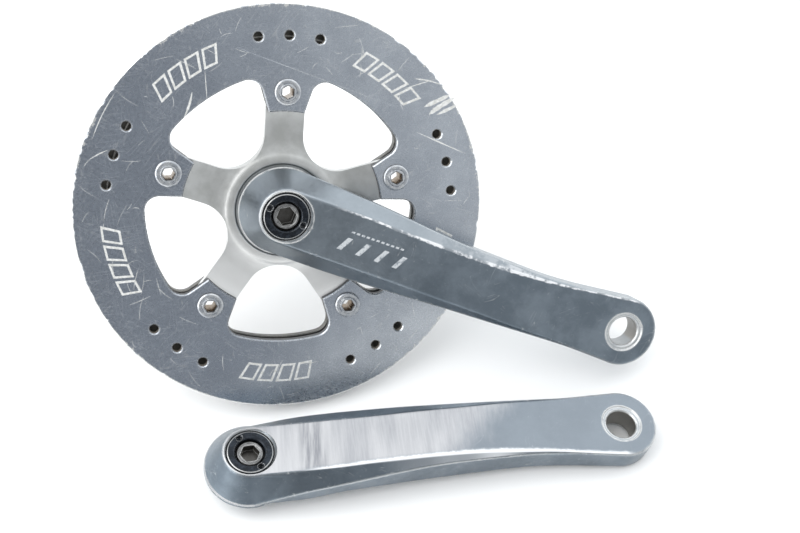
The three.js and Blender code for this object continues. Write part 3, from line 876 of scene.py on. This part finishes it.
def chainring_finish():
    """Dark worn anodising, brighter along its edges."""
    s = Shader("ring_black", Metallic=0.8)
    base = s.mix(s.span(s.noise(0.09, 4, 0.6), 0.35, 0.65), colour(82, 82, 80), colour(104, 102, 98))
    base = s.mix(s.both(s.edges(0.5), 0.5), base, BARE_METAL_AND_HIGHLIGHT)
    rough = s.span(s.noise(0.9, 3, 0.6), 0.3, 0.7, 0.37, 0.48)
    return s.finish(base, rough, s.bump(s.noise(4, 2, 0.6), 0.2, 0.05))


def spider_finish():
    """Blasted silver, paler on its lower arms as a painted reflection, and bright along its edges."""
    s = Shader("spider_silver", Metallic=0.9)
    base = s.mix(s.span(s.noise(0.09, 4, 0.6), 0.35, 0.65), colour(176, 177, 175), colour(192, 193, 192))
    # Painted reflection: paler towards the lower arms.
    low = s.math("SUBTRACT", s.both(s.axis("X"), 0.5), s.both(s.axis("Y"), 0.87))
    base = s.mix(s.span(low, -18, 34, 0, 0.85), base, colour(232, 232, 231))
    base = s.mix(s.both(s.edges(0.5), 0.5), base, BARE_METAL_AND_HIGHLIGHT)
    rough = s.span(s.noise(0.9, 3, 0.6), 0.3, 0.7, 0.31, 0.42)
    return s.finish(base, rough, s.bump(s.noise(4, 2, 0.6), 0.25, 0.05))


def ring_steel():
    """Bright plated fixings, rusty brown down inside their sockets."""
    s = Shader("bright_steel", Metallic=0.92)
    base = s.mix(s.span(s.noise(0.5, 4, 0.6), 0.35, 0.65), colour(166, 170, 176), colour(196, 198, 200))
    height = s.axis("Z")
    inside = s.both(s.span(height, 0.9, 0.2), s.span(height, -12, -11), 0.85)
    base = s.mix(inside, base, colour(120, 96, 62))
    rough = s.span(s.noise(1.2, 3, 0.6), 0.3, 0.7, 0.24, 0.36)
    return s.finish(base, rough, s.bump(s.noise(3, 2, 0.6), 0.12, 0.05))


def cut_finish():
    """Bright metal laid bare by engraving and knocks."""
    s = Shader("bare_cut", Metallic=0.55)
    base = s.mix(s.span(s.noise(0.6, 5, 0.7), 0.4, 0.6), colour(214, 214, 210), colour(240, 240, 238))
    rough = s.span(s.noise(1.5, 3, 0.6), 0.3, 0.7, 0.35, 0.55)
    return s.finish(base, rough, s.bump(s.noise(2, 3, 0.7), 0.4, 0.08))


def bolt_steel_finish():
    """Dark plated bolt, handled bright on its rim, with painted shade down in its socket."""
    s = Shader("bolt_steel", Metallic=0.95)
    base = s.mix(s.span(s.noise(0.4, 4, 0.6), 0.35, 0.65), colour(104, 104, 104), colour(140, 140, 140))
    # Painted shade: darkened up to 7.5 mm high, fading out by 9.4 mm, for the shade down in the socket.
    painted_recess_shade = s.span(s.axis("Z"), 7.5, 9.4, 0.8, 0)
    base = s.mix(painted_recess_shade, base, colour(58, 55, 51))
    base = s.mix(s.edges(0.4), base, BARE_METAL_AND_HIGHLIGHT)
    rough = s.span(s.noise(1.2, 3, 0.6), 0.3, 0.7, 0.26, 0.42)
    return s.finish(base, rough, s.bump(s.noise(3, 2, 0.6), 0.15, 0.05))


def cap_finish():
    """Blue-black anodised ring, worn bright round its rims and pin holes."""
    s = Shader("cap_black", Metallic=0.7)
    base = s.mix(s.span(s.noise(0.5, 4, 0.6), 0.4, 0.7), colour(26, 30, 36), colour(46, 52, 60))
    reach = s.vector("LENGTH", s.place((1, 1, 0)))
    turned_line = s.span(s.math("ABSOLUTE", s.math("SUBTRACT", reach, 10.25)), 0.12, 0.3, 1, 0)
    worn = s.either(s.edges(0.35, 0.01, 0.08), turned_line)
    base = s.mix(s.both(worn, 0.6), base, BARE_METAL_AND_HIGHLIGHT)
    rough = s.span(s.noise(1.0, 3, 0.6), 0.3, 0.7, 0.22, 0.34)
    return s.finish(base, rough, s.bump(s.noise(2.5, 2, 0.5), 0.12, 0.05))


def print_finish():
    """Pale printing, worn thin."""
    s = Shader("pale_print", Metallic=0.3)
    base = s.mix(s.span(s.noise(0.5, 5, 0.75), 0.5, 0.62), colour(196, 200, 203), colour(128, 136, 144))
    rough = s.span(s.noise(1.0, 2, 0.5), 0.3, 0.7, 0.4, 0.55)
    return s.finish(base, rough, s.bump(s.noise(3, 2, 0.6), 0.1, 0.03))


def floor_finish():
    s = Shader("floor_white", Specular_IOR_Level=0.2)
    base = s.mix(s.noise(0.002, 2, 0.5), colour(247, 247, 246), colour(252, 252, 252))
    return s.finish(base, 0.75)


# ---- Assembly
materials = {
    "arm_anodised": arm_finish("arm_anodised", 1, drive_painted_sheen, DRIVE, (-0.85, -0.5), True),
    "left_arm_silver": arm_finish("left_arm_silver", -1, left_painted_light_and_wear, LEFT, (-2.1, -0.3), False),
    "guard_anodised": guard_finish(),
    "spider_silver": spider_finish(),
    "ring_black": chainring_finish(),
    "bright_steel": ring_steel(),
    "bolt_steel": bolt_steel_finish(),
    "cap_black": cap_finish(),
    "pale_print": print_finish(),
    "bare_cut": cut_finish(),
}


def settle(piece):
    """Bakes a piece's place into its mesh, keeping its arm-frame place in mm for the shaders."""
    mesh = piece.data
    spots = np.empty(len(mesh.vertices) * 3, dtype=np.float32)
    mesh.vertices.foreach_get("co", spots)
    mesh.attributes.new(PLACE, "FLOAT_VECTOR", "POINT").data.foreach_set("vector", spots / MM)
    mesh.transform(piece.matrix_world)
    piece.matrix_world = Matrix()


def fit(piece, body, slot, *nodes, finish=None):
    """Dresses a piece in its slot's material and lets it ride for its CAD node."""
    settle(piece)
    piece.data.materials.clear()
    piece.data.materials.append(materials[finish or slot])
    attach(piece, body)
    if nodes:
        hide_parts(*nodes)


def dress_drive_side():
    body = "drive_side"
    fit(crank_arm("right_arm_forging", 1, -HUB_REACH, 16.3, DRIVE), body, "arm_anodised", "right_crank_arm")
    fit(arm_print(DRIVE), body, "arm_anodised", finish="pale_print")
    fit(spider(DRIVE), body, "spider_silver", "spider")
    fit(spider_lockring(DRIVE), body, "bolt_steel", "spider_lockring")
    fit(bash_guard(DRIVE), body, "guard_anodised", "bash_guard")
    fit(guard_scratches(DRIVE), body, "guard_anodised", finish="bare_cut")
    fit(chainring(DRIVE), body, "ring_black", "chainring")
    for k in range(ARMS):
        fit(ring_bolt(k, DRIVE), body, "bright_steel", f"chainring_bolt_{k + 1}")
        fit(ring_nut(k, DRIVE), body, "bright_steel", f"chainring_nut_{k + 1}")
        fit(guard_mark(k, DRIVE), body, "guard_anodised", finish="bare_cut")


def dress_fixings(side, pins_at, arm_body_name, place, turn):
    fit(extractor_cap(side, pins_at, place), arm_body_name, "cap_black", f"{side}_extractor_cap")
    fit(crank_bolt(side, place, turn), f"{side}_bolt", "bolt_steel", f"{side}_crank_bolt")
    fit(bolt_washer(side, place), f"{side}_washer", "bright_steel", f"{side}_bolt_washer")


dress_drive_side()
dress_fixings("right", -9, "drive_side", DRIVE, 0.5)
fit(crank_arm("left_arm_forging", -1, -10.5, 14, LEFT), "left_side", "left_arm_silver", "left_crank_arm")
dress_fixings("left", -59, "left_side", LEFT, 0.1)


# ---- Studio
def set_floor():
    low, high = cad_box
    middle = (low + high) / 2
    half = 3.0
    points = [(x * half / MM, y * half / MM, 0) for x, y in ((-1, -1), (1, -1), (1, 1), (-1, 1))]
    floor = make("floor", points, [(0, 1, 2, 3)], Matrix.Translation((middle.x, middle.y, low.z - 0.0002)))
    floor.data.materials.append(floor_finish())


def soft_light(name, spot, size, power, aim=(0, 0, -0.02), tint=(1, 1, 1)):
    light = bpy.data.lights.new(name, "AREA")
    light.shape = "RECTANGLE"
    light.size, light.size_y = size
    light.energy = power
    light.color = tint
    lamp = bpy.data.objects.new(name, light)
    lamp.location = spot
    lamp.rotation_euler = (Vector(aim) - Vector(spot)).to_track_quat("-Z", "Y").to_euler()
    bpy.context.scene.collection.objects.link(lamp)


def set_world():
    """A pale room, brightest overhead, with a darker patch in front where the camera stands."""
    world = bpy.data.worlds.new("studio")
    bpy.context.scene.world = world
    world.use_nodes = True
    n = Nodes(world.node_tree)
    way = n.node("ShaderNodeTexCoord").outputs["Generated"]
    glow = n.span(n.split(way, "Y"), -0.6, 0.2, 0.74, 1.5)
    side = n.span(n.split(way, "X"), -0.4, 0.5, 0.85, 1.2)
    away = n.vector("MULTIPLY", n.vector("SUBTRACT", way, (-0.06, -0.9, 0.45)), (3, 0.6, 4.5))
    shade = n.span(n.vector("LENGTH", away), 0.2, 1.2, 0.55, 1)
    glow = n.math("MULTIPLY", glow, side)
    background = n.node("ShaderNodeBackground")
    background.inputs["Color"].default_value = (0.955, 0.98, 1, 1)
    n.feed(n.math("MULTIPLY", glow, shade), background.inputs["Strength"])
    n.feed(background.outputs[0], n.node("ShaderNodeOutputWorld").inputs[0])


def set_camera():
    """The photograph's viewing place: about 0.6 m away, looking down from front left."""
    data = bpy.data.cameras.new("camera")
    data.sensor_width = 36
    data.lens = 56.25
    data.clip_start = 0.02
    camera = bpy.data.objects.new("camera", data)
    turn = Euler([math.radians(v) for v in (36.281, -2.660, -14.984)], "XYZ")
    camera.matrix_world = Matrix.Translation((-0.061505, -0.370750, 0.461855)) @ turn.to_matrix().to_4x4()
    bpy.context.scene.collection.objects.link(camera)
    bpy.context.scene.camera = camera


set_floor()
set_world()
soft_light("key", (-0.75, 0.05, 1.05), (1.4, 1.0), 9)
soft_light("left", (-1.1, -0.5, 0.35), (0.7, 0.6), 4, (-0.03, -0.1, -0.03))
set_camera()
bpy.context.scene.view_settings.view_transform = "Standard"
